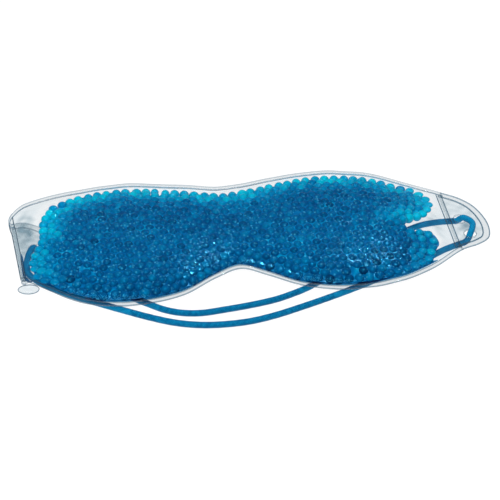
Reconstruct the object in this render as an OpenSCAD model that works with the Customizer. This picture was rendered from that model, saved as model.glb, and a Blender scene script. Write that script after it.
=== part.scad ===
// Gel bead eye mask: a clear film pouch full of soft beads, with a fold-under tab at each end
// and a round elastic cord threaded through both tabs. The mask lies on its back on a table,
// with its left tab folded under. +X runs along the mask, +Y to the forehead edge, +Z is up.

/* [Mask] */
// Distance from the nose to the tip of a tab, laid flat
tab_tip_x = 106.4; // [104:0.1:110]
// Height of the forehead edge above the nose line, over each eye
brow_y = 34.8; // [32:0.1:36]
// Depth of the cheek edge below the nose line, under each eye
cheek_y = 46.4; // [44:0.1:48]
// Depth of the top of the nose notch below the nose line
notch_y = 28.6; // [27:0.1:32]
// Thickness of one sheet of film
film_t = 0.35; // [0.25:0.05:0.4]
// Thickness of a welded band, where two sheets are melted together
weld_t = 0.8; // [0.6:0.05:0.9]
// Width of the welded rim
rim_w = 2.6; // [2:0.1:3]

/* [Filling] */
// Height of the beads above the seam, over each eye
crown_h = 7.2; // [5:0.1:9]
// How much lower the beads are over the nose
bridge_drop = 2.2; // [1:0.1:3]

/* [Tabs] */
// Distance from the nose to the crease of the folded left tab
left_fold_x = 87.5; // [87:0.1:88]
// Distance from the nose to the fold line of the right tab
right_fold_x = 92; // [91.8:0.1:92.4]
// Diameter of the punched cord holes
hole_d = 5.2; // [5:0.1:5.4]

/* [Cord] */
// Diameter of the elastic cord
cord_d = 2.6; // [2.2:0.1:2.6]

/* [Hidden] */

// Colours
film_colour = [0.84, 0.87, 0.89, 0.45];
weld_colour = [0.80, 0.83, 0.85, 0.8];
bead_colour = [0.02, 0.45, 0.68];
cord_colour = [0.04, 0.42, 0.60];
join_colour = [0.75, 0.77, 0.78];

// Levels: half a weld lies above and half below the seam
left_seam_z = 6.65;
middle_seam_z = 4.6;
right_seam_z = 3.1;
fold_axis_z = 4.85;
tab_z = 2 * fold_axis_z - left_seam_z;
gap = 0.2;
cord_r = cord_d / 2;

// Where the seam rises to the left end and falls to the right end: distance from the nose, and run
left_rise = [52, 26];
right_fall = [58, 28];

// Shape of the filling: where its crown starts to fall, and how it is rounded along and across
crown_from = 45;
crown_fall = 2.4;
crown_round = 0.55;
bridge_w = 22;

// The belly that rests on the table: where it ends, its run there, and its relief over the nose
belly_end = 66;
belly_run = 16;
belly_depth = 1.3;
belly_relief = 0.6;
belly_relief_w = 14;
belly_round = 0.6;

// How the back film drapes over the cord: its clearance, its spread and the most it is lifted
drape_gap = 0.45;
drape_spread = 30;
drape_most = 1.2;

// Grid of the soft solids, with its rows gathered towards the rims
steps_x = 44;
steps_v = 14;
rows_gathered = 0.08;
film_left_x = -left_fold_x;
film_right_x = 89.3;
fill_first = 2;
fill_last = steps_x - 1;
weld_outer_x = right_fold_x - gap;
left_weld_end_x = 91.8;

// Edge of the mask as distance from the nose against height: a smooth curve runs through these
upper_edge = [[0, 28.2], [20, 31.8], [42, brow_y], [62, 31.2], [78, 23.8], [92, 15], [100, 9.4]];
lower_edge = [[0, -notch_y], [10, -33.4], [24, -42.4], [42, -cheek_y], [62, -43.8],
    [76, -36.5], [92, -24.8], [100, -21.6]];
// Outline of a tab from its upper to its lower root
tab_edge = [[78, 23.8], [92, 15], [98.5, 10.4], [103.2, 4.4], [tab_tip_x - 0.6, -3.4], [tab_tip_x, -11],
    [104.6, -18], [99.5, -21.9], [92, -24.8], [84, -30]];
hole_a = [95.4, -4.3];
hole_b = [97.4, -14.6];

// Cord routes: the strands start at the left end, and each loop passes through a tab's two holes
upper_route = [[-74.4, -15.3, 4.85], [-71, -15.8, 4.85], [-67.3, -17.2, 4.75], [-63, -20.3, 3.2],
    [-57, -25.2, 1.7], [-50, -31.2, 1.4], [-43, -38, 1.4], [-37, -42.8, 1.4],
    [-31.5, -46.7, 1.4], [-25, -49.3, 1.4], [-17.5, -50.2, 1.4], [-8.5, -49.2, 1.4],
    [1.5, -47.7, 1.4], [11.5, -45.5, 1.4], [19, -42.7, 1.4], [26, -39.3, 1.4], [36, -33, 1.5],
    [48, -25, 1.9], [58, -18, 1.9], [66, -11.8, 1.5], [72.5, -7.3, 1.4], [79, -4.4, 1.4],
    [85.5, -3.2, 1.4], [92, -3, 1.4]];
lower_route = [[-83.5, -18.5, 4.85], [-83.2, -21.8, 4.85], [-81.6, -24.9, 4.85],
    [-79, -27.4, 4.3], [-75.4, -29.5, 3.2], [-71.2, -31.6, 2.3], [-66.2, -34.3, 1.6],
    [-58.5, -38.6, 1.4], [-48, -44.8, 1.4], [-38, -50.4, 1.4], [-28.5, -54.8, 1.4],
    [-19, -57.3, 1.4], [-9.5, -58, 1.4], [0.5, -57.3, 1.4], [10.5, -54.9, 1.4],
    [20.5, -51.4, 1.4], [31, -47.4, 1.4], [41, -43.3, 1.4], [52, -38.4, 1.4], [64, -33, 1.4],
    [77, -26.6, 1.4], [85, -21.8, 1.4], [92, -18.8, 1.4]];
right_route = [[92, -3, 1.4], [94.2, -3.5, 1.7], [95.4, -4.3, 3.1], [96.6, -5.3, 4.5],
    [98.6, -7.8, 4.9], [99.3, -10.4, 4.9], [98.4, -13.2, 4.5], [97.4, -14.6, 3.1],
    [96.4, -16, 1.7], [94.4, -17.9, 1.4], [92, -18.8, 1.4]];
left_route = [[-83.5, -18.1, 4.85], [-83.4, -14.8, 4.85], [-82.7, -11, 4.85], [-81.7, -7.6, 4.85],
    [-80.5, -5.2, 4.5], [-79.6, -4.3, 3.1], [-79.1, -5.1, 1.7], [-78.8, -8, 1.4],
    [-78.4, -11, 1.4], [-78, -13.5, 1.7], [-77.6, -14.6, 3.1], [-76.5, -15.1, 4.5],
    [-74.8, -15.2, 4.85]];
join_from = [48, -25, 1.9];
join_to = [58, -18, 1.9];
join_len = 8;
join_r = 1.75;

// The origin is the middle of the mask's own box, on the table
centre_x = (tab_tip_x - left_fold_x) / 2;
centre_y = (brow_y - cheek_y) / 2;

function clamp01(t) = min(1, max(0, t));
function smooth(t) = let (s = clamp01(t)) s * s * (3 - 2 * s);
function mix(a, b, t) = a + (b - a) * t;

// Slope of a knot list at knot i, level at the nose
function slope(p, i) = i == 0 ? 0
    : let (n = min(i + 1, len(p) - 1)) (p[n][1] - p[i - 1][1]) / (p[n][0] - p[i - 1][0]);
function knot_below(p, x, i = 0) = i >= len(p) - 2 || p[i + 1][0] > x ? i : knot_below(p, x, i + 1);
// Cubic curve through the knots, mirrored about the nose
function edge(p, x) = let (
        a = abs(x),
        i = knot_below(p, a),
        w = p[i + 1][0] - p[i][0],
        t = (a - p[i][0]) / w
    )
    (2 * t ^ 3 - 3 * t ^ 2 + 1) * p[i][1] + (t ^ 3 - 2 * t ^ 2 + t) * w * slope(p, i)
    + (3 * t ^ 2 - 2 * t ^ 3) * p[i + 1][1] + (t ^ 3 - t ^ 2) * w * slope(p, i + 1);

// Height of the seam: raised on the folded tab, low at the flat one
function seam(x) = x < 0
    ? mix(middle_seam_z, left_seam_z, smooth((-x - left_rise[0]) / left_rise[1]))
    : mix(middle_seam_z, right_seam_z, smooth((x - right_fall[0]) / right_fall[1]));

// Height of the filling above the seam along the mask, and its shape across it
function end_x(x) = x < 0 ? -film_left_x : film_right_x;
function crown(x) =
    crown_h * (1 - clamp01((abs(x) - crown_from) / (end_x(x) - crown_from)) ^ crown_fall)
    - bridge_drop * exp(-(x / bridge_w) ^ 2);
function across(v) = (4 * v * (1 - v)) ^ crown_round;
function belly(x, v) = min(1, smooth((belly_end - abs(x)) / belly_run)
    * (belly_depth - belly_relief * exp(-(x / belly_relief_w) ^ 2)) * (4 * v * (1 - v)) ^ belly_round);

// The back film drapes over the cord: distance from a point to one stretch of a route
function stretch_lift(p, a, b) = let (
        d = [b[0] - a[0], b[1] - a[1]],
        t = clamp01(((p[0] - a[0]) * d[0] + (p[1] - a[1]) * d[1]) / (d * d)),
        q = [a[0] + d[0] * t - p[0], a[1] + d[1] * t - p[1]]
    ) mix(a[2], b[2], t) + cord_r + drape_gap - (q * q) / drape_spread;
function route_lift(p, r) = max([for (i = [0 : len(r) - 2]) stretch_lift(p, r[i], r[i + 1])]);
function lift(p) = max(route_lift(p, upper_route), route_lift(p, lower_route),
    p[0] < -60 ? route_lift(p, [for (q = left_route) if (q[2] > 3) q]) : 0,
    stretch_lift(p, join_from, join_to) + join_r - cord_r);

// A point of the pouch: x along it, and v from 0 at the cheek rim to 1 at the forehead rim
function low_y(x) = edge(lower_edge, x) + rim_w;
function high_y(x) = edge(upper_edge, x) - rim_w;
function back_z(x, v) = let (y = mix(low_y(x), high_y(x), v), flat = seam(x) - film_t)
    v <= 0 || v >= 1 ? flat : max(flat * (1 - belly(x, v)), min(lift([x, y]), flat + drape_most));
function front_z(x, v) = max(seam(x) + crown(x) * across(v), back_z(x, v) + film_t);

function grid_x(i) = mix(film_left_x, film_right_x, i / steps_x);
function grid_v(j) = let (s = j / steps_v) s - rows_gathered * sin(360 * s);
function on_pouch(i, j, z) = [grid_x(i), mix(low_y(grid_x(i)), high_y(grid_x(i)), grid_v(j)), z];

front_out = [for (i = [0 : steps_x], j = [0 : steps_v])
    on_pouch(i, j, front_z(grid_x(i), grid_v(j)) + film_t)];
front_in = [for (i = [0 : steps_x], j = [0 : steps_v]) on_pouch(i, j, front_z(grid_x(i), grid_v(j)))];
back_in = [for (i = [0 : steps_x], j = [0 : steps_v])
    on_pouch(i, j, back_z(grid_x(i), grid_v(j)) + film_t)];
back_out = [for (i = [0 : steps_x], j = [0 : steps_v]) on_pouch(i, j, back_z(grid_x(i), grid_v(j)))];

// Closed solid between an upper and a lower sheet of points, each (nu + 1) by (nv + 1)
module between(upper, lower, nu, nv) {
    n = (nu + 1) * (nv + 1);
    function at(i, j) = i * (nv + 1) + j;
    sheet = [for (i = [0 : nu - 1], j = [0 : nv - 1])
        [at(i, j), at(i, j + 1), at(i + 1, j + 1), at(i + 1, j)]];
    ring = concat([for (i = [0 : nu - 1]) at(i, 0)], [for (j = [0 : nv - 1]) at(nu, j)],
        [for (i = [nu : -1 : 1]) at(i, nv)], [for (j = [nv : -1 : 1]) at(0, j)]);
    top = [for (q = sheet, k = [0, 1]) k == 0 ? [q[0], q[1], q[2]] : [q[0], q[2], q[3]]];
    bottom = [for (t = top) [t[2] + n, t[1] + n, t[0] + n]];
    m = len(ring);
    sides = [for (k = [0 : m - 1], h = [0, 1]) let (a = ring[k], b = ring[(k + 1) % m])
        h == 0 ? [a, b, b + n] : [a, b + n, a + n]];
    polyhedron(concat(upper, lower), concat(top, bottom, sides));
}

// Part of a grid of points, from column a to b and from row c to d
function part_of(points, a, b, c, d) = [for (i = [a : b], j = [c : d]) points[i * (steps_v + 1) + j]];

// Flat welded band that follows the seam between two edges, through the stations xs
module band(xs, low, high) {
    between([for (x = xs, k = [0, 1]) [x, k == 0 ? low(x) : high(x), seam(x) + weld_t / 2]],
        [for (x = xs, k = [0, 1]) [x, k == 0 ? low(x) : high(x), seam(x) - weld_t / 2]], len(xs) - 1, 1);
}
rim_xs = concat([for (i = [0 : steps_x]) grid_x(i)], [weld_outer_x]);

// Round cord swept along a route, with its end faces square to the directions start and finish
module cord(route, start = [1, 0, 0], finish = [1, 0, 0]) {
    sides = 8;
    n = len(route);
    function unit(v) = v / norm(v);
    function along(i) = i == 0 ? start : i == n - 1 ? finish : unit(route[i + 1] - route[i - 1]);
    rings = [for (i = [0 : n - 1]) let (t = along(i), side = unit(cross([0, 0, 1], t)), up = cross(t, side))
        for (k = [0 : sides - 1]) let (a = 360 * (k + 0.5) / sides)
            route[i] + cord_r * (side * cos(a) + up * sin(a))];
    walls = [for (i = [0 : n - 2], k = [0 : sides - 1], h = [0, 1])
        let (a = i * sides + k, b = i * sides + (k + 1) % sides)
        h == 0 ? [a, a + sides, b + sides] : [a, b + sides, b]];
    caps = concat([for (k = [1 : sides - 2]) [0, k, k + 1]],
        [for (k = [1 : sides - 2]) [(n - 1) * sides, (n - 1) * sides + k + 1, (n - 1) * sides + k]]);
    polyhedron(rings, concat(walls, caps));
}

// Smooth outline of a tab through its points, between its two roots
function bend(p, i, t) = 0.5 * (2 * p[i] + (p[i + 1] - p[i - 1]) * t
    + (2 * p[i - 1] - 5 * p[i] + 4 * p[i + 1] - p[i + 2]) * t ^ 2
    + (3 * p[i] - p[i - 1] - 3 * p[i + 1] + p[i + 2]) * t ^ 3);
tab_curve = [for (i = [1 : len(tab_edge) - 3], k = [0 : 5]) bend(tab_edge, i, k / 6)];

// Roots of a tab along the edges of the mask, up to where its curve starts
root_x = [84, 86, 88, 90];
function upper_root(inset) = [for (x = root_x) [x, edge(upper_edge, x) - inset]];
function lower_root(inset) = [for (k = [len(root_x) - 1 : -1 : 0])
    [root_x[k], edge(lower_edge, root_x[k]) + inset]];
function tab_normal(i) = let (
        a = tab_curve[max(i - 1, 0)],
        b = tab_curve[min(i + 1, len(tab_curve) - 1)],
        d = (b - a) / norm(b - a)
    ) [d[1], -d[0]];
tab_inner_curve = [for (i = [0 : len(tab_curve) - 1]) tab_curve[i] + rim_w * tab_normal(i)];

module right_of(x) { translate([x, -60]) square([60, 120]); }

// Outline of a tab beyond x_from, whole or inside its rim
module tab_outline(x_from) {
    intersection() {
        polygon(concat(upper_root(0), tab_curve, lower_root(0)));
        right_of(x_from);
    }
}
module tab_inside(x_from) {
    intersection() {
        polygon(concat(upper_root(rim_w), tab_inner_curve, lower_root(rim_w)));
        right_of(x_from);
    }
}

// Welded rim of a tab
module tab_rim(x_from, z) {
    translate([0, 0, z - weld_t / 2]) linear_extrude(weld_t) difference() {
        tab_outline(x_from);
        tab_inside(root_x[0]);
    }
}

// One flat sheet of a tab with its two punched holes
module tab_film(x_from, z) {
    difference() {
        translate([0, 0, z]) linear_extrude(film_t) tab_inside(x_from);
        for (h = [hole_a, hole_b]) {
            translate([h[0], h[1], z - 1]) cylinder(d = hole_d, h = film_t + 2, $fn = 32);
        }
    }
}

// Puts a part made as a right-hand tab where the folded left tab is
module folded() { translate([-2 * left_fold_x, 0, 0]) children(); }

module front_film() { color(film_colour) between(front_out, front_in, steps_x, steps_v); }

module back_film() { color(film_colour) between(back_in, back_out, steps_x, steps_v); }

module bead_fill() {
    color(bead_colour) between(part_of(front_in, fill_first, fill_last, 1, steps_v - 1),
        part_of(back_in, fill_first, fill_last, 1, steps_v - 1), fill_last - fill_first, steps_v - 2);
}

module upper_rim_weld() {
    color(weld_colour) band(rim_xs, function(x) high_y(x), function(x) edge(upper_edge, x));
}

module lower_rim_weld() {
    color(weld_colour) band(rim_xs, function(x) edge(lower_edge, x), function(x) low_y(x));
}

module right_cross_weld() {
    color(weld_colour) band([film_right_x, weld_outer_x], function(x) low_y(x), function(x) high_y(x));
}

module right_tab_front_film() { color(film_colour) tab_film(right_fold_x, right_seam_z); }

module right_tab_back_film() { color(film_colour) tab_film(right_fold_x, right_seam_z - film_t); }

module right_tab_rim_weld() { color(weld_colour) tab_rim(right_fold_x, right_seam_z); }

module left_cross_weld() {
    color(weld_colour) folded() translate([0, 0, tab_z - weld_t / 2]) linear_extrude(weld_t) difference() {
        tab_inside(left_fold_x + gap);
        right_of(left_weld_end_x);
    }
}

module left_tab_front_film() { color(film_colour) folded() tab_film(left_weld_end_x, tab_z - film_t); }

module left_tab_back_film() { color(film_colour) folded() tab_film(left_weld_end_x, tab_z); }

module left_tab_rim_weld() { color(weld_colour) folded() tab_rim(left_fold_x + gap, tab_z); }

module upper_cord_strand() { color(cord_colour) cord(upper_route); }

module lower_cord_strand() { color(cord_colour) cord(lower_route, start = [0, -1, 0]); }

module right_cord_loop() { color(cord_colour) cord(right_route, finish = [-1, 0, 0]); }

module left_cord_loop() { color(cord_colour) cord(left_route, start = [0, 1, 0]); }

// Clamped sleeve that joins the two ends of the cord, hidden under the right half
module cord_join() {
    run = join_to - join_from;
    color(join_colour) translate((join_from + join_to) / 2) rotate([0, 90, atan2(run[1], run[0])])
        difference() {
            cylinder(r = join_r, h = join_len, center = true, $fn = 32);
            cylinder(r = cord_r, h = join_len + 2, center = true, $fn = 32);
        }
}

// Moves the design from the nose line to the origin
module placed() { translate([-centre_x, -centre_y, 0]) children(); }

placed() front_film();
placed() back_film();
placed() bead_fill();
placed() upper_rim_weld();
placed() lower_rim_weld();
placed() right_cross_weld();
placed() right_tab_front_film();
placed() right_tab_back_film();
placed() right_tab_rim_weld();
placed() left_cross_weld();
placed() left_tab_front_film();
placed() left_tab_back_film();
placed() left_tab_rim_weld();
placed() upper_cord_strand();
placed() lower_cord_strand();
placed() right_cord_loop();
placed() left_cord_loop();
placed() cord_join();
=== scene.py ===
"""Looks of the gel bead eye mask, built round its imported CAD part.

Shapes are worked out in millimetres from the nose line, as the part's own source does, and
place() moves them into the frame, in metres. X runs along the mask and Z is up.
"""

import math

import bpy
import numpy as np
from mathutils import Matrix, Vector
from mathutils.geometry import delaunay_2d_cdt
from mathutils.kdtree import KDTree


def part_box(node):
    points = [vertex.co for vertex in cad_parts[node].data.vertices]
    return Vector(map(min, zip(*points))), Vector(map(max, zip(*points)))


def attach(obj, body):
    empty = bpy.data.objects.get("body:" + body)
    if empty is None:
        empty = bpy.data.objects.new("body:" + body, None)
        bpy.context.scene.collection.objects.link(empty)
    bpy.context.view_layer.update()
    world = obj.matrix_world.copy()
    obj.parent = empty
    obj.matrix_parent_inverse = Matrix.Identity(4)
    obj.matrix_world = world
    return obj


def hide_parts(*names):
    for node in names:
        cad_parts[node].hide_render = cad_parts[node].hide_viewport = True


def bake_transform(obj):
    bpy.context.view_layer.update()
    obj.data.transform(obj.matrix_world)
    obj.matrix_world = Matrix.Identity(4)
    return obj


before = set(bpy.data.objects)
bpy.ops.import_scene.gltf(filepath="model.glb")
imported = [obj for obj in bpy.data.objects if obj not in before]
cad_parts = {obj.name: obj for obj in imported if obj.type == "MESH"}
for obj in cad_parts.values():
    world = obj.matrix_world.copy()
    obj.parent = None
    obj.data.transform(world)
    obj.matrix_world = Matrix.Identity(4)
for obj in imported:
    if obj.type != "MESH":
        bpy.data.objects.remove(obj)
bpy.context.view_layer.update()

MM = 0.001

# The part's own dimensions, in millimetres
RIM_W = 2.6
FILM_T = 0.35
CORD_R = 1.3
BEAD_R = 2.0
HOLE_R = 2.6
BROW_Y = 34.8
LEFT_X = -87.5
RIGHT_X = 89.3
LEFT_Z, MIDDLE_Z, RIGHT_Z = 6.65, 4.6, 3.1
AXIS_Z = 4.85
FOLD_R = LEFT_Z - AXIS_Z
TAB_Z = AXIS_Z - FOLD_R
TAB_RIM_W = 3.2
CREASE_X = LEFT_X + FOLD_R
LEFT_SHIFT = 2 * LEFT_X  # takes a tab from its place at the right to its folded place at the left
CROSS_END = 91.8  # the outer edge of the right cross weld

UPPER_EDGE = np.array(
    [[0, 28.2], [20, 31.8], [42, BROW_Y], [62, 31.2], [78, 23.8], [92, 15], [100, 9.4]]
)
LOWER_EDGE = np.array(
    [[0, -28.6], [10, -33.4], [24, -42.4], [42, -46.4], [62, -43.8], [76, -36.5], [92, -24.8],
     [100, -21.6]]
)
TAB_EDGE = np.array(
    [[78, 23.8], [92, 15], [98.5, 10.4], [103.2, 4.4], [105.8, -3.4], [106.4, -11],
     [104.6, -18], [99.5, -21.9], [92, -24.8], [84, -30]]
)
HOLES = np.array([[95.4, -4.3], [97.4, -14.6]])

# The cord: millimetres for one turn of the braid, strands wound each way, millimetres between
# the tube's rings, and the sides of each ring
BRAID_PITCH = 7.0
BRAID_STRANDS = 8
CORD_STEP = 0.4
CORD_SIDES = 40

# Spacing of the beads in the layer under each film, in millimetres
FRONT_SPACING = 3.95
BACK_SPACING = 4.1

# Painted highlights: fine bright glints painted into the filling's colour: how dense, how
# wide within a cell, and how strong
PAINTED_GLINT_SCALE = 560
PAINTED_GLINT_SIZE = 0.32
PAINTED_GLINT_STRENGTH = 0.85

# The pinched lobe at the fold's cheek corner, in millimetres
LOBE_MIDDLE = [-85.0, -30.1, 3.2]
LOBE_SIZE = [4.3, 2.8, 1.5]

# The camera, its distance in millimetres, and the brightness of the table and the surround
VIEW_AZIMUTH = math.radians(-8)
VIEW_ELEVATION = math.radians(37)
VIEW_ROLL = math.radians(0.8)
VIEW_DISTANCE = 700
VIEW_LENS = 122.5
AIM_RIGHT = 0.01164
AIM_DOWN = 0.00882
FLOOR_GLOW = 0.97
WORLD_STRENGTH = 0.10

# The nose line's place in the frame, from the mask's left end and forehead edge
NOSE_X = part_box("front_film")[0].x / MM - LEFT_X
NOSE_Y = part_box("upper_rim_weld")[1].y / MM - BROW_Y


def place(points):
    """Points in millimetres from the nose line, moved into the frame in metres."""
    p = np.array(points, float).reshape(-1, 3)
    return (p + [NOSE_X, NOSE_Y, 0]) * MM


def spot(x, y, z):
    return tuple(place([x, y, z])[0])


# --- Curves and surfaces of the mask ---------------------------------------------------------


def smooth(t):
    s = np.clip(t, 0, 1)
    return s * s * (3 - 2 * s)


def mix(a, b, t):
    return a + (b - a) * t


def edge(knots, x):
    """Cubic curve through the knots, mirrored about the nose."""
    a = np.abs(np.asarray(x, float))
    kx, ky = knots[:, 0], knots[:, 1]
    inner = (ky[2:] - ky[:-2]) / (kx[2:] - kx[:-2])
    slopes = np.concatenate([[0], inner, [(ky[-1] - ky[-2]) / (kx[-1] - kx[-2])]])
    i = np.clip(np.searchsorted(kx, a, side="right") - 1, 0, len(kx) - 2)
    w = kx[i + 1] - kx[i]
    t = (a - kx[i]) / w
    return (
        (2 * t**3 - 3 * t**2 + 1) * ky[i]
        + (t**3 - 2 * t**2 + t) * w * slopes[i]
        + (3 * t**2 - 2 * t**3) * ky[i + 1]
        + (t**3 - t**2) * w * slopes[i + 1]
    )


def seam(x):
    """Height of the rim's seam."""
    x = np.asarray(x, float)
    left = mix(MIDDLE_Z, LEFT_Z, smooth((-x - 52) / 26))
    right = mix(MIDDLE_Z, RIGHT_Z, smooth((x - 58) / 28))
    return np.where(x < 0, left, right)


def low_y(x):
    return edge(LOWER_EDGE, x) + RIM_W


def high_y(x):
    return edge(UPPER_EDGE, x) - RIM_W


def across_of(x, y):
    """How far a point lies across the pouch, 0 at the cheek rim and 1 at the forehead rim."""
    low = low_y(x)
    return np.clip((y - low) / (high_y(x) - low), 0, 1)


def crown(x):
    """How far the filling stands above the seam: lower over the nose, and nothing at the ends."""
    end = np.where(x < 0, -LEFT_X, RIGHT_X)
    fall = np.clip((np.abs(x) - 45) / (end - 45), 0, 1) ** 2.4
    return 7.2 * (1 - fall) - 2.2 * np.exp(-((x / 22) ** 2))


def front_z(x, y):
    """Top of the filling."""
    v = across_of(x, y)
    return seam(x) + crown(x) * (4 * v * (1 - v)) ** 0.55


def segment_lift(x, y, a, b):
    """How high one straight stretch of the cord lifts the film over it."""
    dx, dy = b[0] - a[0], b[1] - a[1]
    t = np.clip(((x - a[0]) * dx + (y - a[1]) * dy) / (dx * dx + dy * dy), 0, 1)
    off2 = (a[0] + dx * t - x) ** 2 + (a[1] + dy * t - y) ** 2
    return mix(a[2], b[2], t) + CORD_R + 0.45 - off2 / 30


def back_z(x, y):
    """Underside of the pouch: a belly flat on the table, draped over the cord."""
    v = across_of(x, y)
    depth = smooth((66 - np.abs(x)) / 16) * (1.3 - 0.6 * np.exp(-((x / 14) ** 2)))
    belly = np.minimum(1, depth * (4 * v * (1 - v)) ** 0.6)
    flat = seam(x) - FILM_T
    lift = np.full(np.shape(x), -9.0)
    for route in (UPPER_ROUTE, LOWER_ROUTE):
        for a, b in zip(route[:-1], route[1:]):
            lift = np.maximum(lift, segment_lift(x, y, a, b))
    z = np.maximum(flat * (1 - belly), np.minimum(lift, flat + 1.2))
    return np.where((v <= 0) | (v >= 1), flat, z)


# --- Cord routes, in millimetres, as the part has them ---------------------------------------

UPPER_ROUTE = [
    [-74.4, -15.3, 4.85], [-71, -15.8, 4.85], [-67.3, -17.2, 4.75], [-63, -20.3, 3.2],
    [-57, -25.2, 1.7], [-50, -31.2, 1.4], [-43, -38, 1.4], [-37, -42.8, 1.4],
    [-31.5, -46.7, 1.4], [-25, -49.3, 1.4], [-17.5, -50.2, 1.4], [-8.5, -49.2, 1.4],
    [1.5, -47.7, 1.4], [11.5, -45.5, 1.4], [19, -42.7, 1.4], [26, -39.3, 1.4],
    [36, -33, 1.5], [48, -25, 1.9], [58, -18, 1.9], [66, -11.8, 1.5], [72.5, -7.3, 1.4],
    [79, -4.4, 1.4], [85.5, -3.2, 1.4], [92, -3, 1.4],
]
LOWER_ROUTE = [
    [-83.5, -18.5, 4.85], [-83.2, -21.8, 4.85], [-81.6, -24.9, 4.85], [-79, -27.4, 4.3],
    [-75.4, -29.5, 3.2], [-71.2, -31.6, 2.3], [-66.2, -34.3, 1.6], [-58.5, -38.6, 1.4],
    [-48, -44.8, 1.4], [-38, -50.4, 1.4], [-28.5, -54.8, 1.4], [-19, -57.3, 1.4],
    [-9.5, -58, 1.4], [0.5, -57.3, 1.4], [10.5, -54.9, 1.4], [20.5, -51.4, 1.4],
    [31, -47.4, 1.4], [41, -43.3, 1.4], [52, -38.4, 1.4], [64, -33, 1.4], [77, -26.6, 1.4],
    [85, -21.8, 1.4], [92, -18.8, 1.4],
]
RIGHT_ROUTE = [
    [92, -3, 1.4], [94.2, -3.5, 1.7], [95.4, -4.3, 3.1], [96.6, -5.3, 4.5], [98.6, -7.8, 4.9],
    [99.3, -10.4, 4.9], [98.4, -13.2, 4.5], [97.4, -14.6, 3.1], [96.4, -16, 1.7],
    [94.4, -17.9, 1.4], [92, -18.8, 1.4],
]
LEFT_ROUTE = [
    [-83.5, -18.1, 4.85], [-83.4, -14.8, 4.85], [-82.7, -11, 4.85], [-81.7, -7.6, 4.85],
    [-80.5, -5.2, 4.5], [-79.6, -4.3, 3.1], [-79.1, -5.1, 1.7], [-78.8, -8, 1.4],
    [-78.4, -11, 1.4], [-78, -13.5, 1.7], [-77.6, -14.6, 3.1], [-76.5, -15.1, 4.5],
    [-74.8, -15.2, 4.85],
]
JOIN_AT = 18  # the upper route's point at the near end of the clamped sleeve
JOIN_MIDDLE = [53, -21.5, 1.9]
MEETING = 20  # the lower route's point where the two lengths of cord meet, under the pouch


# --- Mesh helpers ----------------------------------------------------------------------------


def make_mesh(name, points, faces):
    """A smooth-shaded mesh piece from points in millimetres."""
    mesh = bpy.data.meshes.new(name)
    mesh.from_pydata([tuple(p) for p in place(points)], [], [tuple(map(int, f)) for f in faces])
    mesh.validate()
    mesh.polygons.foreach_set("use_smooth", np.ones(len(mesh.polygons), bool))
    piece = bpy.data.objects.new(name, mesh)
    bpy.context.scene.collection.objects.link(piece)
    return piece


def set_attribute(piece, name, values):
    attribute = piece.data.attributes.new(name, "FLOAT", "POINT")
    attribute.data.foreach_set("value", np.asarray(values, np.float32))


def grid_faces(nu, nv, closed=False):
    """Quads of a grid of nu rows by nv points, its last column joined to the first if closed."""
    i, j = np.meshgrid(np.arange(nu - 1), np.arange(nv if closed else nv - 1), indexing="ij")
    k = (j + 1) % nv
    quads = np.stack([i * nv + j, (i + 1) * nv + j, (i + 1) * nv + k, i * nv + k], axis=-1)
    return quads.reshape(-1, 4)


def lengths(line):
    """Length along a line at each of its points."""
    return np.concatenate([[0], np.cumsum(np.linalg.norm(np.diff(line, axis=0), axis=1))])


def spline(points, step):
    """Points about step apart on the smooth curve through the given points."""
    p = np.array(points, float)
    p = np.vstack([2 * p[0] - p[1], p, 2 * p[-1] - p[-2]])
    out = []
    for i in range(1, len(p) - 2):
        a, b, c, d = p[i - 1 : i + 3]
        n = max(2, int(math.ceil(np.linalg.norm(c - b) / step * 1.3)))
        t = (np.arange(n) / n)[:, None]
        square = (2 * a - 5 * b + 4 * c - d) * t**2
        cube = (3 * b - a - 3 * c + d) * t**3
        out.append(0.5 * (2 * b + (c - a) * t + square + cube))
    line = np.vstack(out + [p[-2:-1]])
    along = lengths(line)
    at = np.linspace(0, along[-1], int(round(along[-1] / step)) + 1)
    return np.stack([np.interp(at, along, line[:, k]) for k in range(line.shape[1])], axis=1)


def frames(line):
    """Tangents and two cross directions along a line, turned as little as possible."""
    tangents = np.gradient(line, axis=0)
    tangents /= np.linalg.norm(tangents, axis=1)[:, None]
    side = np.cross([0, 0, 1], tangents[0])
    side /= np.linalg.norm(side)
    sides = []
    for t in tangents:
        side = side - t * (side @ t)
        side /= np.linalg.norm(side)
        sides.append(side)
    sides = np.array(sides)
    return tangents, sides, np.cross(tangents, sides)


def tube_points(line, sides, radius):
    """Rings round a line, radius(along, around) giving each point's distance from it."""
    along = lengths(line)
    around = np.arange(sides) / sides
    _, side, up = frames(line)
    angle = 2 * math.pi * around
    ring = side[:, None] * np.cos(angle)[None, :, None] + up[:, None] * np.sin(angle)[None, :, None]
    r = radius(along[:, None], around[None, :])
    points = line[:, None] + ring * np.broadcast_to(r, ring.shape[:2])[..., None]
    shape = ring.shape[:2]
    return (
        points.reshape(-1, 3),
        np.broadcast_to(along[:, None], shape).ravel(),
        np.broadcast_to(around[None, :], shape).ravel(),
    )


def end_caps(points, faces, rings, sides):
    """Closes both ends of a tube with a fan."""
    points = np.vstack([points, points[:sides].mean(0), points[-sides:].mean(0)])
    n, last = rings * sides, (rings - 1) * sides
    fans = [[n, (k + 1) % sides, k] for k in range(sides)]
    fans += [[n + 1, last + k, last + (k + 1) % sides] for k in range(sides)]
    return points, [*map(tuple, faces), *map(tuple, fans)]


def tube(name, line, sides, radius):
    points, along, around = tube_points(np.array(line, float), sides, radius)
    faces = grid_faces(len(line), sides, closed=True)
    points, faces = end_caps(points, faces, len(line), sides)
    piece = make_mesh(name, points, faces)
    set_attribute(piece, "along", np.append(along, [along[0], along[-1]]))
    set_attribute(piece, "around", np.append(around, [0, 0]))
    return piece


# --- Materials -------------------------------------------------------------------------------


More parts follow.
